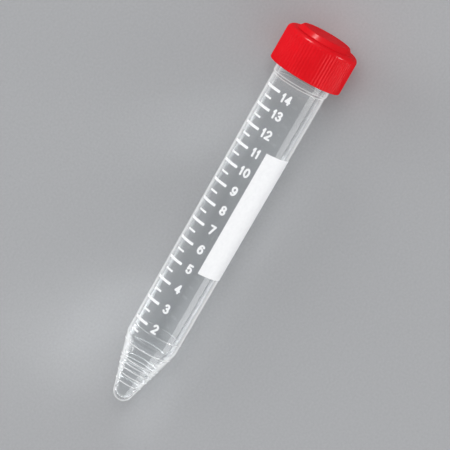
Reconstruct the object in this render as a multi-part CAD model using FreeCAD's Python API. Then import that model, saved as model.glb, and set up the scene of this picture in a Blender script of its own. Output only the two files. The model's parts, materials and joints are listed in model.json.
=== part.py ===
import FreeCAD, Part
import math
import os

# A 15 ml conical-bottom tube with its screw cap, in millimetres.
#
# Both pieces are bodies of revolution. They are drawn upright, as (r, z) outlines with r from the
# axis and z up from the tip, and are then laid down together as a capped tube comes to rest: on
# the rim of its cap and on the shoulder of its cone, with the cap towards +X.

# ---- driving sizes: the tube ----------------------------------------------------------------------
overall_length = 120.0      # tip to the top of the closed cap
body_top_radius = 8.25      # under the collar
body_draft = 0.44           # radius that the body loses from the collar to the shoulder
wall = 0.95                 # of the body
shoulder_height = 19.3      # where the cone meets the body
shoulder_rounding = 1.5
cone_wall = 0.6
tip_radius = 3.0            # outside of the rounded tip
tip_floor = 0.9             # plastic under the deepest point of the inside
collar_step = 0.28          # how far the neck stands out from the body
collar_ramp = 0.8           # height over which it grows
collar_rounding = 0.3
neck_showing = 3.16         # between the collar's lower edge and the rim of the closed cap
lip_rounding = 0.4
bore_rounding = 0.3         # inner edge of the lip, which leads the plug in

# ---- driving sizes: rings moulded on the tube -------------------------------------------------------
ring_marks = (0.1, 0.2, 0.3, 0.4, 0.5, 1.0)     # millilitres
ring_width = 0.4
ring_rise = 0.15
ring_rounding = 0.12
witness_above_shoulder = 3.3    # the line where two parts of the mould met
witness_width = 0.28
witness_rise = 0.08
witness_rounding = 0.08

# ---- driving sizes: the cap -------------------------------------------------------------------------
cap_height = 12.84
cap_wall = 1.48             # of the skirt, between two ribs
cap_roof = 1.45             # under the shelf
cap_shoulder_rounding = 1.7
cap_rim_rounding = 0.4
cap_mouth_chamfer = 0.35    # inner edge of the rim, which leads the neck in
cap_inner_rounding = 0.4
shelf_width = 2.5           # from the side of the cap to the foot of the raised disc
step_run = 1.2
step_height = 1.5
step_rounding = 0.35
disc_wall = 1.5
disc_inner_rounding = 0.6
rib_count = 72
rib_depth = 0.14
rib_half_width = 0.36       # of a rib's rounded crest
plug_depth = 2.4
plug_wall = 0.9
plug_chamfer = 0.35
plug_rounding = 0.2

# ---- fits -------------------------------------------------------------------------------------------
plug_clearance = 0.05       # radial, between the plug and the neck's bore
lip_clearance = 0.05        # between the lip and the ceiling of the cap
thread_height = 0.75        # room that the neck's thread takes, radially
thread_clearance = 0.15     # between the thread's crest and the cap's bore

# ---- heights and radii that follow --------------------------------------------------------------------
cap_rim = overall_length - cap_height
shelf_height = overall_length - step_height
ceiling_height = shelf_height - cap_roof
disc_underside = overall_length - disc_wall
lip_height = ceiling_height - lip_clearance
collar_height = cap_rim - neck_showing
plug_end = ceiling_height - plug_depth

foot_radius = body_top_radius - body_draft
neck_radius = body_top_radius + collar_step
neck_bore_radius = body_top_radius - wall
cap_bore_radius = neck_radius + thread_height + thread_clearance
valley_radius = cap_bore_radius + cap_wall
cap_radius = valley_radius + rib_depth
crest_radius = (rib_half_width ** 2 + rib_depth ** 2) / (2 * rib_depth)
step_foot_radius = cap_radius - shelf_width
disc_radius = step_foot_radius - step_run
plug_radius = neck_bore_radius - plug_clearance
plug_bore_radius = plug_radius - plug_wall

# The cone's outside is the line from the shoulder's corner that touches the tip's sphere.
corner_rise = shoulder_height - tip_radius
corner_distance = math.hypot(foot_radius, corner_rise)
cone_angle = math.atan2(foot_radius, corner_rise) - math.asin(tip_radius / corner_distance)
body_angle = math.atan(body_draft / (collar_height - shoulder_height))

# Its inside is parallel, one wall away, and ends in a smaller sphere above the solid tip.
bowl_rise = (tip_floor - cone_wall) / (1 - math.sin(cone_angle))
bowl_radius = tip_radius - cone_wall + bowl_rise * math.sin(cone_angle)
bowl_height = tip_radius + bowl_rise
bowl_edge = bowl_height - bowl_radius * math.sin(cone_angle)
level_cone_wall = cone_wall / math.cos(cone_angle)
wall_change = level_cone_wall - wall
inner_shoulder = shoulder_height + wall_change / (math.tan(cone_angle) - math.tan(body_angle))


def outer_angle(height):
    """How far the outside of the tube leans from its axis at a height below the collar."""
    return cone_angle if height <= shoulder_height else body_angle


def outer_radius(height):
    """Outside of the tube at a height between its tip and its collar."""
    return foot_radius + (height - shoulder_height) * math.tan(outer_angle(height))


def inner_radius(height):
    """Inside of the tube at a height below the collar."""
    if height <= bowl_edge:
        return math.sqrt(max(0.0, bowl_radius ** 2 - (bowl_height - height) ** 2))
    if height <= inner_shoulder:
        return foot_radius + (height - shoulder_height) * math.tan(cone_angle) - level_cone_wall
    return foot_radius + (height - shoulder_height) * math.tan(body_angle) - wall


def fill_height(millilitres):
    """Height of the surface of this much liquid in the upright tube."""
    slice_height = 0.01
    height = tip_floor
    volume = 0.0
    while volume < 1000 * millilitres:
        volume += math.pi * inner_radius(height + slice_height / 2) ** 2 * slice_height
        height += slice_height
    return height


# ---- turned shapes ------------------------------------------------------------------------------------
def at(r, z):
    """A point of an upright outline."""
    return FreeCAD.Vector(r, 0, z)


def rounded_corner(before, corner, after, rounding):
    """Where the arc that rounds a corner starts, its middle, and where it ends."""
    back = (before - corner).normalize()
    onward = (after - corner).normalize()
    half_angle = back.getAngle(onward) / 2
    reach = rounding / math.tan(half_angle)
    centre = corner + (back + onward).normalize() * (rounding / math.sin(half_angle))
    middle = centre + (corner - centre).normalize() * rounding
    return corner + back * reach, middle, corner + onward * reach


def turned(outline):
    """The solid that a closed outline of (r, z, rounding) corners makes, turned about the axis."""
    spots = [at(r, z) for r, z, _ in outline]
    edges = []
    runs = []
    for index, (_, _, rounding) in enumerate(outline):
        start = end = spots[index]
        if rounding > 0:
            before, after = spots[index - 1], spots[(index + 1) % len(spots)]
            start, middle, end = rounded_corner(before, spots[index], after, rounding)
            edges.append(Part.Arc(start, middle, end).toShape())
        runs.append((start, end))
    for index, (start, _) in enumerate(runs):
        last_end = runs[index - 1][1]
        if last_end.distanceToPoint(start) > 1e-6:
            edges.append(Part.LineSegment(last_end, start).toShape())
    wire = Part.Wire(Part.__sortEdges__(edges))
    return Part.Face(wire).revolve(at(0, 0), at(0, 1), 360)


def ring(height, width, rise, rounding):
    """Corners of a small ring that stands out of the tube's wall at a height."""
    angle = outer_angle(height)
    along = at(math.sin(angle), math.cos(angle)) * (width / 2)
    out = at(math.cos(angle), -math.sin(angle)) * rise
    foot = at(outer_radius(height), height)
    corners = ((foot - along, 0), (foot + out, rounding), (foot + along, 0))
    return [(spot.x, spot.z, radius) for spot, radius in corners]


# ---- the tube -------------------------------------------------------------------------------------------
def make_tube():
    """Tip, graduated cone, body, collar and neck, moulded as one piece."""
    corner_share = math.tan((math.pi / 2 - cone_angle) / 2)
    rings = [ring(fill_height(marked), ring_width, ring_rise, ring_rounding) for marked in ring_marks]
    witness = ring(shoulder_height + witness_above_shoulder, witness_width, witness_rise,
                   witness_rounding)
    shoulder = [(foot_radius, shoulder_height, shoulder_rounding)]
    side = sorted(rings + [witness, shoulder], key=lambda corners: corners[0][1])
    outline = [(0, 0, 0), (tip_radius * corner_share, 0, tip_radius)]
    for corners in side:
        outline += corners
    outline += [
        (body_top_radius, collar_height, collar_rounding),
        (neck_radius, collar_height + collar_ramp, collar_rounding),
        (neck_radius, lip_height, lip_rounding),
        (neck_bore_radius, lip_height, bore_rounding),
        (neck_bore_radius, collar_height, 0),
        (inner_radius(inner_shoulder), inner_shoulder, shoulder_rounding),
        (bowl_radius * corner_share, tip_floor, bowl_radius),
        (0, tip_floor, 0),
    ]
    return turned(outline)


# ---- the cap --------------------------------------------------------------------------------------------
def ribbed_prism(height):
    """A prism whose side is a ring of round-crested ribs. A valley faces +X, where the cap lies."""
    pitch = 2 * math.pi / rib_count
    half_crest = math.asin(rib_half_width / valley_radius)

    def spot(radius, angle):
        return FreeCAD.Vector(radius * math.cos(angle), radius * math.sin(angle), 0)

    edges = []
    for index in range(rib_count):
        crest = (index + 0.5) * pitch
        start = spot(valley_radius, crest - half_crest)
        end = spot(valley_radius, crest + half_crest)
        next_start = spot(valley_radius, crest + pitch - half_crest)
        edges.append(Part.Arc(start, spot(cap_radius, crest), end).toShape())
        edges.append(Part.Arc(end, spot(valley_radius, crest + pitch / 2), next_start).toShape())
    return Part.Face(Part.Wire(edges)).extrude(FreeCAD.Vector(0, 0, height))


def make_cap():
    """Ribbed skirt, rounded shoulder, raised disc and plug, moulded as one piece."""
    envelope = turned([
        (0, cap_rim, 0),
        (cap_radius, cap_rim, cap_rim_rounding),
        (cap_radius, shelf_height, cap_shoulder_rounding),
        (step_foot_radius, shelf_height, step_rounding),
        (disc_radius, overall_length, step_rounding),
        (0, overall_length, 0),
    ])
    inside = turned([
        (0, cap_rim, 0),
        (cap_bore_radius + cap_mouth_chamfer, cap_rim, 0),
        (cap_bore_radius, cap_rim + cap_mouth_chamfer, 0),
        (cap_bore_radius, ceiling_height, cap_inner_rounding),
        (plug_radius, ceiling_height, 0),
        (plug_radius, plug_end + plug_chamfer, 0),
        (plug_radius - plug_chamfer, plug_end, 0),
        (plug_bore_radius, plug_end, plug_rounding),
        (plug_bore_radius, disc_underside, disc_inner_rounding),
        (0, disc_underside, 0),
    ])
    ribs = ribbed_prism(cap_height)
    ribs.translate(at(0, cap_rim))
    return ribs.common(envelope).cut(inside).Solids[0]


# ---- laying down ------------------------------------------------------------------------------------------
def lying_tilt():
    """How far the axis rises towards the cap when both roundings touch one flat surface."""
    shoulder_lean = (cone_angle + body_angle) / 2
    shoulder_reach = shoulder_rounding / math.cos((cone_angle - body_angle) / 2)
    shoulder_r = foot_radius - shoulder_reach * math.cos(shoulder_lean)
    shoulder_z = shoulder_height + shoulder_reach * math.sin(shoulder_lean)
    crest_drop = (cap_radius - crest_radius) * (1 - math.cos(math.pi / rib_count))
    rim_r = cap_radius - crest_drop - cap_rim_rounding
    rim_z = cap_rim + cap_rim_rounding
    length = math.hypot(rim_z - shoulder_z, rim_r - shoulder_r)
    slope = math.atan2(rim_r - shoulder_r, rim_z - shoulder_z)
    return slope + math.asin((cap_rim_rounding - shoulder_rounding) / length)


pieces = {"tube": make_tube(), "cap": make_cap()}

for shape in pieces.values():
    shape.rotate(FreeCAD.Vector(0, 0, 0), FreeCAD.Vector(0, 1, 0), 90 - math.degrees(lying_tilt()))
extent = Part.makeCompound(list(pieces.values())).optimalBoundingBox()
to_origin = FreeCAD.Vector(-extent.Center.x, -extent.Center.y, -extent.ZMin)

os.makedirs("parts", exist_ok=True)
for name, shape in pieces.items():
    shape.translate(to_origin)
    shape.exportStep(os.path.join("parts", name + ".step"))
    print(name, len(shape.Solids), "solid,", round(shape.Volume, 1), "mm3")
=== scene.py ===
import json
import math

import bpy
import numpy as np
from mathutils import Matrix, Vector


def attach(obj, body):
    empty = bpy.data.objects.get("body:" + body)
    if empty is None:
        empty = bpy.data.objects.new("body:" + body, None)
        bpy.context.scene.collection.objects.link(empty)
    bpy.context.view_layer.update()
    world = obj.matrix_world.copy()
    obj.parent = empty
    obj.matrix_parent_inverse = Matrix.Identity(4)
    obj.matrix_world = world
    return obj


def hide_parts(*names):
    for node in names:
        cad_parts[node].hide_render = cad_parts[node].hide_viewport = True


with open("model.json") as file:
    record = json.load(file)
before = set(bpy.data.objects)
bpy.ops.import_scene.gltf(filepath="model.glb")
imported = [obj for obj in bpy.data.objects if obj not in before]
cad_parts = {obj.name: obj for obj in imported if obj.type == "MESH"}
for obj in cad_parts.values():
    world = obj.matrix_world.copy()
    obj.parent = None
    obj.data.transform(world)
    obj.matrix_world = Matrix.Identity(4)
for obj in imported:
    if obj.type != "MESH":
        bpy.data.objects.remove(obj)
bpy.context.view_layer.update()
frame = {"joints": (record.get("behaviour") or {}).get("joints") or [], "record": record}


# ---- the tube ---------------------------------------------------------------------------------------
# A 15 ml conical tube, injection moulded in one piece from clear styrene plastic: rounded tip, cone
# with raised ring marks, slightly tapered body, collar and threaded neck. It is drawn upright in
# millimetres, z up from its tip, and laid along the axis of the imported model.
overall_length = 120.0
cap_disc = next(mount for mount in frame["record"]["mounts"] if mount["name"] == "cap_disc")
along = np.array(frame["joints"][0]["axis"])
along /= np.linalg.norm(along)
across = np.array((0.0, -1.0, 0.0))
face_up = np.cross(across, along)
tip_spot = np.array(cap_disc["pos_m"]) - along * overall_length / 1000

body_top_radius = 8.25
foot_radius = 7.81
wall = 0.95
shoulder_height = 19.3
shoulder_rounding = 1.5
cone_wall = 0.6
tip_radius = 3.0
tip_floor = 0.9
collar_height = 104.0
collar_ramp = 0.8
collar_rounding = 0.3
collar_step = 0.28
neck_radius = body_top_radius + collar_step
neck_bore_radius = body_top_radius - wall
lip_height = 117.0
lip_rounding = 0.4
bore_rounding = 0.3
ring_marks = (0.1, 0.2, 0.3, 0.4, 0.5, 1.0)
ring_width = 0.4
ring_rise = 0.15
ring_rounding = 0.12
witness_above_shoulder = 3.3
witness_width = 0.28
witness_rise = 0.08
tube_columns = 216

corner_rise = shoulder_height - tip_radius
cone_angle = math.atan2(foot_radius, corner_rise)
cone_angle -= math.asin(tip_radius / math.hypot(foot_radius, corner_rise))
body_angle = math.atan((body_top_radius - foot_radius) / (collar_height - shoulder_height))
bowl_rise = (tip_floor - cone_wall) / (1 - math.sin(cone_angle))
bowl_radius = tip_radius - cone_wall + bowl_rise * math.sin(cone_angle)
bowl_height = tip_radius + bowl_rise
bowl_edge = bowl_height - bowl_radius * math.sin(cone_angle)
level_cone_wall = cone_wall / math.cos(cone_angle)
inner_shoulder = shoulder_height + (level_cone_wall - wall) / (math.tan(cone_angle) - math.tan(body_angle))


def laid_down(points):
    """Points of the upright tube (towards its print, to the right of it, up), as they lie, in metres."""
    points = np.asarray(points) / 1000
    return tip_spot + points[:, :1] * face_up + points[:, 1:2] * across + points[:, 2:] * along


def lean_at(height):
    """Angle between the outside of the tube and its axis, below the collar."""
    return cone_angle if height <= shoulder_height else body_angle


def outer_radius(height):
    """Outside of the tube, below the collar."""
    return foot_radius + (height - shoulder_height) * math.tan(lean_at(height))


def inner_radius(height):
    """Inside of the tube, below the collar."""
    if height <= bowl_edge:
        return math.sqrt(max(0.0, bowl_radius ** 2 - (bowl_height - height) ** 2))
    if height <= inner_shoulder:
        return foot_radius + (height - shoulder_height) * math.tan(cone_angle) - level_cone_wall
    return foot_radius + (height - shoulder_height) * math.tan(body_angle) - wall


def fill_height(millilitres):
    """Height of the surface of this much liquid in the upright tube."""
    slice_height = 0.01
    height = tip_floor
    volume = 0.0
    while volume < 1000 * millilitres:
        volume += math.pi * inner_radius(height + slice_height / 2) ** 2 * slice_height
        height += slice_height
    return height


def mould_ring(height, width, rise, rounding):
    """Corners of a fine ring that stands out of the wall at a height."""
    lean = lean_at(height)
    half = width / 2
    r = outer_radius(height)
    foot_rounding = 0.05
    return [
        (r - math.sin(lean) * half, height - math.cos(lean) * half, foot_rounding),
        (r + math.cos(lean) * rise, height - math.sin(lean) * rise, rounding),
        (r + math.sin(lean) * half, height + math.cos(lean) * half, foot_rounding),
    ]


def eased(corners, longest=6.0, turn_step=11.0):
    """Points along an outline of (r, z, rounding) corners, close together where it turns."""
    least_run = 0.02
    guard_beside_turn = 0.1
    least_gap = 1e-4
    spots = [np.array(corner[:2], float) for corner in corners]
    path = []
    for index, spot in enumerate(spots):
        rounding = corners[index][2]
        if rounding <= 0 or index in (0, len(spots) - 1):
            path.append([spot])
            continue
        back = spots[index - 1] - spot
        onward = spots[index + 1] - spot
        back /= np.linalg.norm(back)
        onward /= np.linalg.norm(onward)
        half_angle = math.acos(np.clip(back @ onward, -1, 1)) / 2
        middle = back + onward
        middle /= np.linalg.norm(middle)
        centre = spot + middle * rounding / math.sin(half_angle)
        start = spot + back * rounding / math.tan(half_angle) - centre
        turn = math.pi - 2 * half_angle
        turn_sign = math.copysign(1, back[0] * onward[1] - back[1] * onward[0])
        steps = max(3, math.ceil(math.degrees(turn) / turn_step))
        arc = []
        for step in range(steps + 1):
            angle = -turn_sign * turn * step / steps
            cos, sin = math.cos(angle), math.sin(angle)
            arc.append(centre + np.array((cos * start[0] - sin * start[1], sin * start[0] + cos * start[1])))
        path.append(arc)
    points = []
    for arc, following in zip(path, path[1:] + [None]):
        points += arc
        if following is None:
            break
        run = following[0] - arc[-1]
        length = np.linalg.norm(run)
        if length < least_run:
            continue
        guard = min(guard_beside_turn, length / 4)
        stops = [guard, length - guard]
        if length > longest:
            parts = math.ceil((length - 2 * guard) / longest)
            stops = list(np.linspace(guard, length - guard, parts + 1))
        points += [arc[-1] + run * stop / length for stop in stops]
    kept = [points[0]]
    for point in points[1:]:
        if np.linalg.norm(point - kept[-1]) > least_gap:
            kept.append(point)
    return np.array(kept)


def turned_grid(outline, angles, change):
    """Vertices and faces of an outline from axis to axis, turned, its radii changed by a function."""
    heights = outline[1:-1, 1]
    radii = outline[1:-1, 0]
    rows, columns = len(heights), len(angles)
    all_r, turns = np.meshgrid(radii, angles, indexing="ij")
    all_z = np.repeat(heights[:, None], columns, axis=1)
    r, z = change(all_r, all_z, turns)
    ring_points = np.stack((r * np.cos(angles), r * np.sin(angles), z), axis=-1).reshape(-1, 3)
    points = np.vstack(([[0, 0, outline[0, 1]]], ring_points, [[0, 0, outline[-1, 1]]]))
    faces = []
    last = len(points) - 1
    for column in range(columns):
        beside = (column + 1) % columns
        faces.append((0, 1 + column, 1 + beside))
        top = 1 + (rows - 1) * columns
        faces.append((last, top + beside, top + column))
    for row in range(rows - 1):
        low = 1 + row * columns
        high = low + columns
        for column in range(columns):
            beside = (column + 1) % columns
            faces.append((low + column, high + column, high + beside, low + beside))
    return points, faces


def volume_of(points, faces):
    """Signed volume inside a closed mesh, positive where its faces look outwards."""
    total = 0.0
    for corners in (3, 4):
        group = np.array([face for face in faces if len(face) == corners])
        if len(group):
            for turn in range(1, corners - 1):
                a, b, c = points[group[:, 0]], points[group[:, turn]], points[group[:, turn + 1]]
                total += np.einsum("ij,ij->i", a, np.cross(b, c)).sum() / 6
    return total


def finished_piece(name, points, faces, material, body, sharp=None):
    """A mesh object in place, with its finish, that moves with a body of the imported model."""
    if volume_of(points, faces) < 0:
        faces = [tuple(reversed(face)) for face in faces]
    mesh = bpy.data.meshes.new(name)
    mesh.from_pydata(points.tolist(), [], faces)
    mesh.validate()
    mesh.polygons.foreach_set("use_smooth", np.ones(len(mesh.polygons), bool))
    if sharp is not None:
        mesh.set_sharp_from_angle(angle=math.radians(sharp))
    mesh.materials.append(material)
    mesh.update()
    piece = bpy.data.objects.new(name, mesh)
    bpy.context.scene.collection.objects.link(piece)
    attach(piece, body)
    return piece


def arc(x, y, width, height, start, end, steps=14):
    """Points of an arc of an ellipse, from one angle to another, in degrees."""
    turns = np.radians(np.linspace(start, end, steps))
    return [(x + width * math.cos(turn), y + height * math.sin(turn)) for turn in turns]


# The middle lines of the figures 0 to 9, in parts of their width and height.
figure_lines = {
    "0": [arc(0.5, 0.5, 0.5, 0.5, 0, 360, 36)],
    "1": [[(0.1, 0.76), (0.8, 1.0), (0.8, 0.0)]],
    "2": [arc(0.5, 0.71, 0.47, 0.29, 165, -35, 18) + [(0.0, 0.0), (1.0, 0.0)]],
    "3": [arc(0.47, 0.76, 0.42, 0.24, 160, -90, 20), arc(0.47, 0.26, 0.5, 0.26, 90, -160, 20)],
    "4": [[(0.74, 0.0), (0.74, 1.0), (0.0, 0.27), (1.0, 0.27)]],
    "5": [[(0.92, 1.0), (0.16, 1.0), (0.06, 0.5)] + arc(0.47, 0.33, 0.5, 0.32, 138, -155, 22)],
    "6": [arc(0.5, 0.31, 0.5, 0.31, 0, 360, 32), arc(0.62, 0.42, 0.62, 0.58, 50, 184, 20)],
    "7": [[(0.0, 1.0), (1.0, 1.0), (0.34, 0.0)]],
    "8": [arc(0.5, 0.76, 0.42, 0.24, 0, 360, 30), arc(0.5, 0.26, 0.5, 0.26, 0, 360, 30)],
    "9": [arc(0.5, 0.69, 0.5, 0.31, 0, 360, 32), arc(0.38, 0.58, 0.62, 0.58, 4, -130, 20)],
}


def distance_to(lines, x, y):
    """Distance from each point to the nearest of some lines."""
    nearest = np.full(np.shape(x), 1e9)
    for line in lines:
        for (x0, y0), (x1, y1) in zip(line[:-1], line[1:]):
            run_x, run_y = x1 - x0, y1 - y0
            share = ((x - x0) * run_x + (y - y0) * run_y) / (run_x ** 2 + run_y ** 2)
            share = np.clip(share, 0, 1)
            nearest = np.minimum(nearest, np.hypot(x - x0 - share * run_x, y - y0 - share * run_y))
    return nearest


def ramp(value, start, end):
    """0 before start, 1 after end, and an even S between them."""
    share = np.clip((value - start) / (end - start), 0, 1)
    return share * share * (3 - 2 * share)


thread_pitch = 3.2
thread_start = 109.3
thread_turns = 1.75
thread_rise = 0.7
thread_half_foot = 0.85
thread_half_crest = 0.35
thread_fade = 0.09          # of a turn, at each end
thread_low = collar_height + 2
thread_high = lip_height - 0.5


def thread_ridge(angles, z, start, turns, half_foot, half_crest):
    """How much of its full height a right-handed thread has at each point, faded at both ends."""
    full = 2 * math.pi
    turned = np.mod(angles, full) / full
    along_thread = (z - start) / thread_pitch - turned
    nearest = np.round(along_thread)
    off = np.abs(along_thread - nearest) * thread_pitch
    travelled = nearest + turned
    fade = ramp(travelled, 0, thread_fade) * (1 - ramp(travelled, turns - thread_fade, turns))
    return (1 - ramp(off, half_crest, half_foot)) * fade


middle_of_neck_wall = (neck_bore_radius + neck_radius) / 2
one_angle = math.radians(-32)
one_height = 15.35
one_tall = 1.25
one_across = 0.42
one_stroke = 0.26
one_rise = 0.12
one_softness = 0.06         # how far its side spreads beyond the stroke
one_reach = 0.35            # of the finer rows above and below the figure
one_half_turn = 0.075       # of the finer columns at each side of it, in radians
middle_of_cone_wall = inner_radius(one_height + one_tall / 2) + cone_wall / 2


def tube_changes(r, z, angles):
    """The neck's thread and the small figure moulded under the 1 ml ring."""
    on_neck = (r > middle_of_neck_wall) & (z > thread_low) & (z < thread_high)
    ridge = thread_ridge(angles, z, thread_start, thread_turns, thread_half_foot, thread_half_crest)
    r = r + np.where(on_neck, thread_rise * ridge, 0)
    swing = np.mod(angles - one_angle + math.pi, 2 * math.pi) - math.pi
    x = swing * r + one_across / 2
    y = z - one_height
    near_one = (np.abs(swing) < 2 * one_half_turn) & (y > -one_reach) & (y < one_tall + one_reach)
    lines = [[(px * one_across, py * one_tall) for px, py in line] for line in figure_lines["1"]]
    edge = distance_to(lines, x, y) - one_stroke / 2
    raised = one_rise * (1 - ramp(edge, -one_softness / 2, one_softness))
    return r + np.where(near_one & (r > middle_of_cone_wall), raised, 0), z


tip_corner = tip_radius * math.tan((math.pi / 2 - cone_angle) / 2)
bowl_corner = bowl_radius * math.tan((math.pi / 2 - cone_angle) / 2)
side = [mould_ring(fill_height(mark), ring_width, ring_rise, ring_rounding) for mark in ring_marks]
side.append(mould_ring(shoulder_height + witness_above_shoulder, witness_width, witness_rise, witness_rise))
side.append([(foot_radius, shoulder_height, shoulder_rounding)])
side.sort(key=lambda corners: corners[0][1])
tube_corners = [(0, 0, 0), (tip_corner, 0, tip_radius)]
for corners in side:
    tube_corners += corners
tube_corners += [
    (body_top_radius, collar_height, collar_rounding),
    (neck_radius, collar_height + collar_ramp, collar_rounding),
    (neck_radius, lip_height, lip_rounding),
    (neck_bore_radius, lip_height, bore_rounding),
    (neck_bore_radius, collar_height, 0),
    (inner_radius(inner_shoulder), inner_shoulder, shoulder_rounding),
    (bowl_corner, tip_floor, bowl_radius),
    (0, tip_floor, 0),
]
tube_outline = eased(tube_corners)


def closer_rows(outline, low, high, step):
    """The same outline with more points between two heights on its outer side, where it climbs."""
    points = [outline[0]]
    for before, after in zip(outline[:-1], outline[1:]):
        start, end = max(before[1], low), min(after[1], high)
        if end - start > step:
            count = math.ceil((end - start) / step)
            heights = [h for h in np.linspace(start, end, count + 1) if before[1] < h < after[1]]
            climb = (after - before) / (after[1] - before[1])
            points += [before + climb * (h - before[1]) for h in heights]
        points.append(after)
    return np.array(points)


neck_thread_row = 0.13
one_row = 0.07
tube_outline = closer_rows(tube_outline, thread_start - 1.2, lip_height - 0.45, neck_thread_row)
tube_outline = closer_rows(tube_outline, one_height - one_reach, one_height + one_tall + one_reach, one_row)
tube_angles = np.linspace(-math.pi, math.pi, tube_columns, endpoint=False)
tube_angles = tube_angles[np.abs(tube_angles - one_angle) > one_half_turn + 0.005]
fine_angles = one_angle + np.linspace(-one_half_turn, one_half_turn, 33)
tube_angles = np.sort(np.concatenate((tube_angles, fine_angles)))


def new_finish(name):
    """A new material, with its node tree, its shader, and the places on the object."""
    material = bpy.data.materials.new(name)
    material.use_nodes = True
    tree = material.node_tree
    places = tree.nodes.new("ShaderNodeTexCoord").outputs["Object"]
    return material, tree, tree.nodes["Principled BSDF"], places


def drawn_out(tree, places, scale):
    """The same places with each axis scaled, for a grain that is longer in some directions."""
    mapping = tree.nodes.new("ShaderNodeMapping")
    mapping.inputs["Scale"].default_value = scale
    tree.links.new(places, mapping.inputs["Vector"])
    return mapping.outputs["Vector"]


def noise(tree, places, scale, detail):
    """A soft noise with this many spots to a metre."""
    texture = tree.nodes.new("ShaderNodeTexNoise")
    texture.inputs["Scale"].default_value = scale
    texture.inputs["Detail"].default_value = detail
    tree.links.new(places, texture.inputs["Vector"])
    return texture.outputs["Fac"]


def between(tree, share, low, high, start=0.0, end=1.0):
    """A value that goes from low to high while share goes from start to end."""
    node = tree.nodes.new("ShaderNodeMapRange")
    node.inputs["From Min"].default_value = start
    node.inputs["From Max"].default_value = end
    node.inputs["To Min"].default_value = low
    node.inputs["To Max"].default_value = high
    tree.links.new(share, node.inputs["Value"])
    return node.outputs["Result"]


def tint(tree, share, start, start_color, end, end_color):
    """A colour that goes from one to another while share goes from start to end."""
    node = tree.nodes.new("ShaderNodeValToRGB")
    for stop, position, color in zip(node.color_ramp.elements, (start, end), (start_color, end_color)):
        stop.position = position
        stop.color = (*color, 1)
    tree.links.new(share, node.inputs["Fac"])
    return node.outputs["Color"]


def calculated(tree, operation, *values):
    """A sum or product of values, each a number or another node's output."""
    node = tree.nodes.new("ShaderNodeMath")
    node.operation = operation
    for socket, value in zip(node.inputs, values):
        if isinstance(value, (int, float)):
            socket.default_value = value
        else:
            tree.links.new(value, socket)
    return node.outputs["Value"]


def painted(tree, attribute):
    """A value that the mesh holds at each of its points."""
    node = tree.nodes.new("ShaderNodeAttribute")
    node.attribute_name = attribute
    return node.outputs["Fac"]


def grazing(tree):
    """0 where the surface is seen straight on, 1 where it is seen edge on."""
    node = tree.nodes.new("ShaderNodeLayerWeight")
    node.inputs["Blend"].default_value = 0.5
    return node.outputs["Facing"]


def bumps(tree, height, strength, distance):
    """The normals of a fine relief."""
    node = tree.nodes.new("ShaderNodeBump")
    node.inputs["Strength"].default_value = strength
    node.inputs["Distance"].default_value = distance
    tree.links.new(height, node.inputs["Height"])
    return node.outputs["Normal"]


# Clear all through, with painted highlights: it turns white where it is seen edge on, in streaks over the
# cone, and on the collar's edges and the marks, which are also frosted. Light that passes through it still
# leaves a soft shadow.
clear_plastic, tree, shader, places = new_finish("clear_styrene")
shader.inputs["Base Color"].default_value = (0.97, 0.98, 0.985, 1)
shader.inputs["IOR"].default_value = 1.57
# Painted highlights: white streaks in hoops over the cone, and a white share where the wall is seen edge on.
hoops = noise(tree, drawn_out(tree, places, (1.0, 0.12, 0.12)), 700, 3)
painted_cone_streaks = between(tree, hoops, 0.0, 0.22, 0.35, 0.65)
painted_white_share = calculated(tree, "MULTIPLY_ADD", painted(tree, "cone"), painted_cone_streaks, grazing(tree))
clearness = tint(tree, painted_white_share, 0.42, (1.0, 1.0, 1.0), 0.68, (0.2, 0.2, 0.2))
# The marks, which are frosted, and the collar's edges turn white: partly a painted highlight.
clear_beside_marks = calculated(tree, "MULTIPLY_ADD", painted(tree, "matt_and_highlight"), -0.65, 1.0)
clear_share = calculated(tree, "MULTIPLY", clearness, clear_beside_marks)
tree.links.new(clear_share, shader.inputs["Transmission Weight"])
flow = noise(tree, drawn_out(tree, places, (0.05, 1.0, 1.0)), 420, 2)
tree.links.new(bumps(tree, flow, 0.06, 0.00002), shader.inputs["Normal"])
haze = between(tree, noise(tree, places, 180, 4), 0.0, 0.02)
tree.links.new(haze, shader.inputs["Roughness"])
shade = tint(tree, grazing(tree), 0.3, (0.93, 0.94, 0.945), 0.95, (0.25, 0.26, 0.27))
through = tree.nodes.new("ShaderNodeBsdfTransparent")
tree.links.new(shade, through.inputs["Color"])
ray = tree.nodes.new("ShaderNodeLightPath")
either = tree.nodes.new("ShaderNodeMixShader")
tree.links.new(ray.outputs["Is Shadow Ray"], either.inputs["Fac"])
tree.links.new(shader.outputs["BSDF"], either.inputs[1])
tree.links.new(through.outputs["BSDF"], either.inputs[2])
tree.links.new(either.outputs["Shader"], tree.nodes["Material Output"].inputs["Surface"])

tube_points, tube_faces = turned_grid(tube_outline, tube_angles, tube_changes)
tube = finished_piece("clear_tube", laid_down(tube_points), tube_faces, clear_plastic,
                      "tube")
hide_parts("tube")


def paint(piece, attribute, values):
    """Give each point of a mesh the value that its finish reads."""
    spots = piece.data.attributes.new(attribute, "FLOAT", "POINT")
    spots.data.foreach_set("value", values.astype(np.float32))


least_proud = 0.1           # what stands out of the wall by this much is fully white: frosted, and partly a painted highlight
collar_highlight_reach = 0.12          # and so is the wall this near to the collar's two edges, as a painted highlight
heights = tube_points[:, 2]
proud = np.hypot(tube_points[:, 0], tube_points[:, 1])
proud -= np.array([outer_radius(height) for height in heights])
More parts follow.
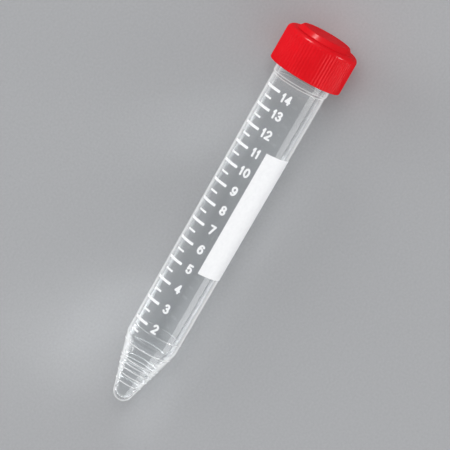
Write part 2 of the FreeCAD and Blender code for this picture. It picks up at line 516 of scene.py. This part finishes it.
# Painted highlight on the collar's edges, and white on the ring marks, which is partly frosting and partly
# painted highlight.
marked = (heights > tip_radius + 1) & (heights < shoulder_height + witness_above_shoulder + 1)
on_mark = np.where(marked, np.clip(proud / least_proud, 0, 1), 0)
to_collar = np.minimum(np.abs(heights - collar_height), np.abs(heights - collar_height - collar_ramp))
collar_highlight = np.where(proud > -least_proud, np.clip(1.4 - to_collar / collar_highlight_reach, 0, 1), 0)
paint(tube, "matt_and_highlight", np.maximum(on_mark, collar_highlight))

# Painted highlight streaks, strongest over the cone, half as strong at its tip, and none above its shoulder.
tip_to_cone = ramp(heights, 1, 9)
cone_to_body = ramp(heights, 17, 22)
paint(tube, "cone", (1 + tip_to_cone) / 2 * (1 - cone_to_body))


# ---- the printed scale ------------------------------------------------------------------------------
# White ink printed on the outside of the body: a long line at every millilitre from 2 to 14 and a
# short one at every half from 1.5, each a little above the height that this much liquid reaches.
ink_outside = 0.02
ink_inside = 0.01
long_line = (-70, -26, 0.8)             # where it starts and ends, in degrees, and how tall it is
short_line = (-58.5, -36.5, 0.58)
line_rounding = 0.1
line_cell = 0.1                         # size of the cells that follow its edge
print_margin = 0.1
print_rise = 0.6                        # the whole print sits this much above the true levels

white_ink, tree, shader, places = new_finish("white_ink")
cloud = noise(tree, places, 900, 5)
tree.links.new(tint(tree, cloud, 0.3, (0.92, 0.925, 0.935), 0.7, (0.97, 0.975, 0.98)),
               shader.inputs["Base Color"])
tree.links.new(between(tree, cloud, 0.42, 0.62), shader.inputs["Roughness"])
tree.links.new(bumps(tree, noise(tree, places, 6000, 3), 0.35, 0.000012), shader.inputs["Normal"])


def inked(field, x_range, y_range, cell, angle, height):
    """A thin shell of ink on the body where a field is negative. x runs round the tube, y up it."""
    xs = np.linspace(x_range[0], x_range[1], max(3, math.ceil((x_range[1] - x_range[0]) / cell) + 1))
    ys = np.linspace(y_range[0], y_range[1], max(3, math.ceil((y_range[1] - y_range[0]) / cell) + 1))
    grid_x, grid_y = np.meshgrid(xs, ys)
    depth = field(grid_x, grid_y)
    least_depth = 0.02 * cell
    depth = np.where(np.abs(depth) < least_depth, -least_depth, depth)
    inside = depth < 0
    flat, number = [], {}

    def vertex(i, j, k, m):
        key = (i, j, k, m)
        if key not in number:
            share = 0.0 if (i, j) == (k, m) else depth[i, j] / (depth[i, j] - depth[k, m])
            number[key] = len(flat)
            flat.append((xs[j] + (xs[m] - xs[j]) * share, ys[i] + (ys[k] - ys[i]) * share))
        return number[key]

    polygons = []
    for i in range(len(ys) - 1):
        for j in range(len(xs) - 1):
            corners = [(i, j), (i, j + 1), (i + 1, j + 1), (i + 1, j)]
            if not any(inside[corner] for corner in corners):
                continue
            polygon = []
            for here, following in zip(corners, corners[1:] + corners[:1]):
                if inside[here]:
                    polygon.append(vertex(*here, *here))
                if inside[here] != inside[following]:
                    polygon.append(vertex(*min(here, following), *max(here, following)))
            polygons.append(tuple(polygon))
    flat = np.array(flat)
    z = height + flat[:, 1]
    body = foot_radius + (z - shoulder_height) * math.tan(body_angle)
    swing = angle + flat[:, 0] / outer_radius(height)
    layers = []
    for r in (body + ink_outside, body - ink_inside):
        layers.append(np.stack((r * np.cos(swing), r * np.sin(swing), z), axis=-1))
    count = len(flat)
    faces = list(polygons)
    faces += [tuple(spot + count for spot in reversed(polygon)) for polygon in polygons]
    used = {(a, b) for polygon in polygons for a, b in zip(polygon, polygon[1:] + polygon[:1])}
    faces += [(b, a, a + count, b + count) for a, b in sorted(used) if (b, a) not in used]
    return np.vstack(layers), faces


def joined(shells):
    """Several meshes as one list of points and faces."""
    points, faces, count = [], [], 0
    for shell_points, shell_faces in shells:
        points.append(shell_points)
        faces += [tuple(spot + count for spot in face) for face in shell_faces]
        count += len(shell_points)
    return np.vstack(points), faces


def waver(x, y, seed):
    """The slight unevenness of a printed edge."""
    return 0.012 * np.sin(9.1 * x + 3.7 * seed) * np.sin(8.3 * y + 1.9 * seed)


def bar(half_width, half_height, rounding, seed):
    """Field of an upright rectangle with slightly rounded corners, centred on 0."""

    def field(x, y):
        out_x = np.abs(x) - half_width + rounding
        out_y = np.abs(y) - half_height + rounding
        outside = np.hypot(np.maximum(out_x, 0), np.maximum(out_y, 0))
        return outside + np.minimum(np.maximum(out_x, out_y), 0) - rounding + waver(x, y, seed)

    return field


scale_lines = []
for half in range(3, 29):
    start, end, line_height = long_line if half % 2 == 0 else short_line
    level = fill_height(half / 2) + print_rise
    half_width = math.radians(end - start) / 2 * outer_radius(level)
    half_height = line_height / 2
    field = bar(half_width, half_height, line_rounding, half)
    x_range = (-half_width - print_margin, half_width + print_margin)
    y_range = (-half_height - print_margin, half_height + print_margin)
    line_angle = math.radians((start + end) / 2)
    scale_lines.append(inked(field, x_range, y_range, line_cell, line_angle, level))
points, faces = joined(scale_lines)
finished_piece("scale_lines", laid_down(points), faces, white_ink, "tube", sharp=50)


# ---- the printed numbers ----------------------------------------------------------------------------
# The millilitres 2 to 14 in bold round figures beside the long lines, printed in the same pass with
# the same white ink.
figure_tall = 2.9
figure_wide = 1.8
one_wide = 1.05
figure_gap = 0.28
figure_cell = 0.07
stroke = 0.6
middle_of_one_figure = math.radians(-6.5)
middle_of_two_figures = math.radians(-7.5)
lowered = {14: 0.8}                     # this number stands lower beside its line than the others

numbers = []
for millilitres in range(2, 15):
    text = str(millilitres)
    widths = [one_wide if figure == "1" else figure_wide for figure in text]
    total = sum(widths) + figure_gap * (len(text) - 1)
    angle = middle_of_two_figures if len(text) == 2 else middle_of_one_figure
    level = fill_height(millilitres) + print_rise - lowered.get(millilitres, 0)
    x = -total / 2
    lines = []
    for figure, width in zip(text, widths):
        for line in figure_lines[figure]:
            lines.append([(x + stroke / 2 + px * (width - stroke),
                           -figure_tall / 2 + stroke / 2 + py * (figure_tall - stroke)) for px, py in line])
        x += width + figure_gap

    def field(x, y):
        return distance_to(lines, x, y) - stroke / 2 + waver(x, y, millilitres)

    x_range = (-total / 2 - print_margin, total / 2 + print_margin)
    y_range = (-figure_tall / 2 - print_margin, figure_tall / 2 + print_margin)
    numbers.append(inked(field, x_range, y_range, figure_cell, angle, level))
points, faces = joined(numbers)
finished_piece("scale_numbers", laid_down(points), faces, white_ink, "tube", sharp=50)


# ---- the writing patch ------------------------------------------------------------------------------
# A solid white field for notes, printed beside the scale in the same white ink, from the 5 ml line to
# above the 11 ml one. Its faint tooth takes pencil or marker.
patch_start = math.radians(12)
patch_end = math.radians(122)
patch_low = 44.5
patch_high = 83.9
patch_rounding = 0.12
patch_cell = 0.25
patch_margin = 0.2

patch_middle = (patch_low + patch_high) / 2
patch_angle = (patch_start + patch_end) / 2
half_width = (patch_end - patch_start) / 2 * outer_radius(patch_middle)
half_height = (patch_high - patch_low) / 2
x_range = (-half_width - patch_margin, half_width + patch_margin)
y_range = (-half_height - patch_margin, half_height + patch_margin)
field = bar(half_width, half_height, patch_rounding, 1)
points, faces = inked(field, x_range, y_range, patch_cell, patch_angle, patch_middle)
finished_piece("writing_patch", laid_down(points), faces, white_ink, "tube", sharp=50)


# ---- the screw cap ----------------------------------------------------------------------------------
# One red polyethylene moulding: a skirt with fine grip ribs that run out on its rounded shoulder, a
# raised disc on top, and inside a thread and a plug that seals the neck.
cap_height = 12.84
cap_radius = 11.05
cap_shoulder_rounding = 1.7
cap_rim_rounding = 0.4
rib_count = 72
rib_depth = 0.14
rib_crest_power = 1.3       # over 1, a rib's crest is wider than the groove beside it
shelf_width = 2.5
step_run = 1.2
step_height = 1.5
step_rounding = 0.35
disc_wall = 1.5
disc_rounding = 0.6
thread_room = 0.9           # between the neck and the cap's bore
lip_clearance = 0.05
ceiling_rounding = 0.4
plug_clearance = 0.05
plug_wall = 0.9
plug_depth = 2.4
plug_rounding = 0.2
plug_end_rounding = 0.1
chamfer = 0.35              # of the bore's mouth and of the plug's end
edge_rounding = 0.08

cap_rim = overall_length - cap_height
shelf_height = overall_length - step_height
step_foot_radius = cap_radius - shelf_width
disc_radius = step_foot_radius - step_run
disc_underside = overall_length - disc_wall
cap_bore_radius = neck_radius + thread_room
ceiling_height = lip_height + lip_clearance
plug_radius = neck_bore_radius - plug_clearance
plug_bore_radius = plug_radius - plug_wall
plug_end = ceiling_height - plug_depth
cap_thread_rise = 0.6
cap_thread_turns = 1.6
cap_thread_half_foot = 0.8
cap_thread_half_crest = 0.3

cap_corners = [
    (0, overall_length, 0),
    (disc_radius, overall_length, step_rounding),
    (step_foot_radius, shelf_height, step_rounding),
    (cap_radius, shelf_height, cap_shoulder_rounding),
    (cap_radius, cap_rim, cap_rim_rounding),
    (cap_bore_radius + chamfer, cap_rim, edge_rounding),
    (cap_bore_radius, cap_rim + chamfer, edge_rounding),
    (cap_bore_radius, ceiling_height, ceiling_rounding),
    (plug_radius, ceiling_height, edge_rounding),
    (plug_radius, plug_end + chamfer, plug_end_rounding),
    (plug_radius - chamfer, plug_end, plug_end_rounding),
    (plug_bore_radius, plug_end, plug_rounding),
    (plug_bore_radius, disc_underside, disc_rounding),
    (0, disc_underside, 0),
]


def cap_changes(r, z, angles):
    """Ribs round the skirt, which run out on the shoulder, and the thread in the bore."""
    ribbed = cap_radius - rib_depth * (0.5 + 0.5 * np.cos(rib_count * angles)) ** rib_crest_power
    softness = 0.05
    gap = np.clip(0.5 + 0.5 * (ribbed - r) / softness, 0, 1)
    blended = ribbed * (1 - gap) + r * gap - softness * gap * (1 - gap) / 2
    outside = r > cap_bore_radius + 0.5
    r = np.where(outside, np.minimum(blended, r), r)
    in_bore = (r < cap_bore_radius + 0.01) & (r > plug_radius + 0.6)
    in_bore &= (z < ceiling_height - 0.7) & (z > cap_rim + 0.5)
    start = thread_start + thread_pitch / 2
    ridge = thread_ridge(angles, z, start, cap_thread_turns, cap_thread_half_foot, cap_thread_half_crest)
    return r - np.where(in_bore, cap_thread_rise * ridge, 0), z


cap_outline = eased(cap_corners, longest=2.5, turn_step=10)
cap_thread_row = 0.2
closer = [cap_outline[0]]
for before, after in zip(cap_outline[:-1], cap_outline[1:]):
    length = after[1] - before[1]
    on_bore = max(abs(before[0] - cap_bore_radius), abs(after[0] - cap_bore_radius)) < 1e-3
    if on_bore and length > 1.5 * cap_thread_row:
        count = math.ceil(length / cap_thread_row)
        closer += [before + (after - before) * step / count for step in range(1, count)]
    closer.append(after)
cap_outline = np.array(closer)
rib_pitch = 2 * math.pi / rib_count
rib_stops = np.radians((0.0, 0.6, 1.2, 2.05, 2.95, 3.8, 4.4))     # closest at the groove
cap_angles = (np.arange(rib_count)[:, None] * rib_pitch + rib_stops[None, :]).ravel()

red_plastic, tree, shader, places = new_finish("red_polyethylene")
shader.inputs["Specular IOR Level"].default_value = 0.0
shader.inputs["Coat Weight"].default_value = 0.12
shader.inputs["Coat IOR"].default_value = 2.0
shader.inputs["Coat Roughness"].default_value = 0.22
cloud = noise(tree, places, 120, 4)
tree.links.new(tint(tree, cloud, 0.3, (0.7, 0.003, 0.008), 0.7, (0.78, 0.005, 0.012)),
               shader.inputs["Base Color"])
tree.links.new(between(tree, cloud, 0.24, 0.32), shader.inputs["Roughness"])
tree.links.new(bumps(tree, noise(tree, places, 4000, 3), 0.3, 0.000015), shader.inputs["Normal"])

points, faces = turned_grid(cap_outline, cap_angles, cap_changes)
cap = finished_piece("screw_cap", laid_down(points), faces, red_plastic, "cap")
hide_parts("cap")


# ---- the bench ----------------------------------------------------------------------------------------
# A wide pale grey board that the closed tube lies on, resting on its cap's rim and on the shoulder of
# its cone. It isn't part of the tube.
bench_half = 4.0
pale_board, tree, shader, places = new_finish("pale_board")
shader.inputs["Roughness"].default_value = 0.75
tree.links.new(tint(tree, noise(tree, places, 1500, 5), 0.3, (0.375, 0.38, 0.39), 0.7, (0.41, 0.415, 0.425)),
               shader.inputs["Base Color"])
mesh = bpy.data.meshes.new("bench")
mesh.from_pydata([(-bench_half, -bench_half, 0), (bench_half, -bench_half, 0), (bench_half, bench_half, 0),
                  (-bench_half, bench_half, 0)], [], [(0, 1, 2, 3)])
mesh.materials.append(pale_board)
bench = bpy.data.objects.new("bench", mesh)
bpy.context.scene.collection.objects.link(bench)


# ---- the room and the lamps ---------------------------------------------------------------------------
# An even pale room with wide soft lamps far away: one above, one at each end and one on each side.
# Two small ones light nothing, and only show as the glints on the cap's shoulder.
room = bpy.data.worlds.new("room")
room.use_nodes = True
bpy.context.scene.world = room
air = room.node_tree.nodes["Background"]
air.inputs["Color"].default_value = (0.5, 0.505, 0.515, 1)
air.inputs["Strength"].default_value = 0.9


def far_lamp(name, towards, spread, power, lights=True, mirrored=True, inside=False):
    """A far soft lamp this wide, in degrees, with this share of the plain level of light.

    It may light dull surfaces, be mirrored in glossy ones, and shine inside the clear wall.
    """
    light = bpy.data.lights.new(name, "SUN")
    light.angle = math.radians(spread)
    light.energy = power * math.pi
    lamp = bpy.data.objects.new(name, light)
    lamp.rotation_euler = (-Vector(towards)).to_track_quat("-Z", "Y").to_euler()
    lamp.visible_camera = False
    lamp.visible_diffuse = lights
    lamp.visible_glossy = mirrored
    lamp.visible_transmission = inside
    bpy.context.scene.collection.objects.link(lamp)


far_lamp("overhead", (0.35, 0.2, 0.9), 40, 0.33, mirrored=False)
far_lamp("cap_end", (1.0, 0.1, 0.4), 40, 0.12, mirrored=False)
far_lamp("right_low", (-0.16, -0.86, 0.2), 30, 0.2)
far_lamp("cone_end", (-0.6, -0.75, 0.26), 40, 0.2, inside=True)
far_lamp("left_low", (0.0, 0.86, 0.25), 40, 0.37, mirrored=False)
far_lamp("cap_glint_left", (0.81, 0.48, 0.34), 14, 0.8, lights=False)
far_lamp("cap_glint_right", (0.5, -0.84, 0.2), 12, 0.6, lights=False)


# ---- the camera -----------------------------------------------------------------------------------------
# A long lens 1.3 m away, nearly straight above the tube and a little towards its cap, turned so that
# the tube leans 30 degrees to the right.
distance = 1.345
lens = 382.08
camera_lean = math.radians(10.32)
camera_turn = math.radians(29.88)
aim_right = 0.000845        # how far beside the tube's middle the lens points, in metres
aim_down = 0.001633
middle = tip_spot + along * overall_length / 2000
forward = -(math.cos(camera_lean) * face_up + math.sin(camera_lean) * along)
upright = math.cos(camera_lean) * along - math.sin(camera_lean) * face_up
right = math.sin(camera_turn) * upright + math.cos(camera_turn) * across
up = math.cos(camera_turn) * upright - math.sin(camera_turn) * across
spot = middle + aim_right * right - aim_down * up - distance * forward
camera = bpy.data.objects.new("camera", bpy.data.cameras.new("camera"))
camera.data.lens = lens
camera.data.clip_start = 0.05
camera.data.clip_end = 50
camera.matrix_world = Matrix((
    (right[0], up[0], -forward[0], spot[0]),
    (right[1], up[1], -forward[1], spot[1]),
    (right[2], up[2], -forward[2], spot[2]),
    (0, 0, 0, 1),
))
bpy.context.scene.collection.objects.link(camera)
bpy.context.scene.camera = camera
bpy.context.scene.view_settings.view_transform = "Standard"
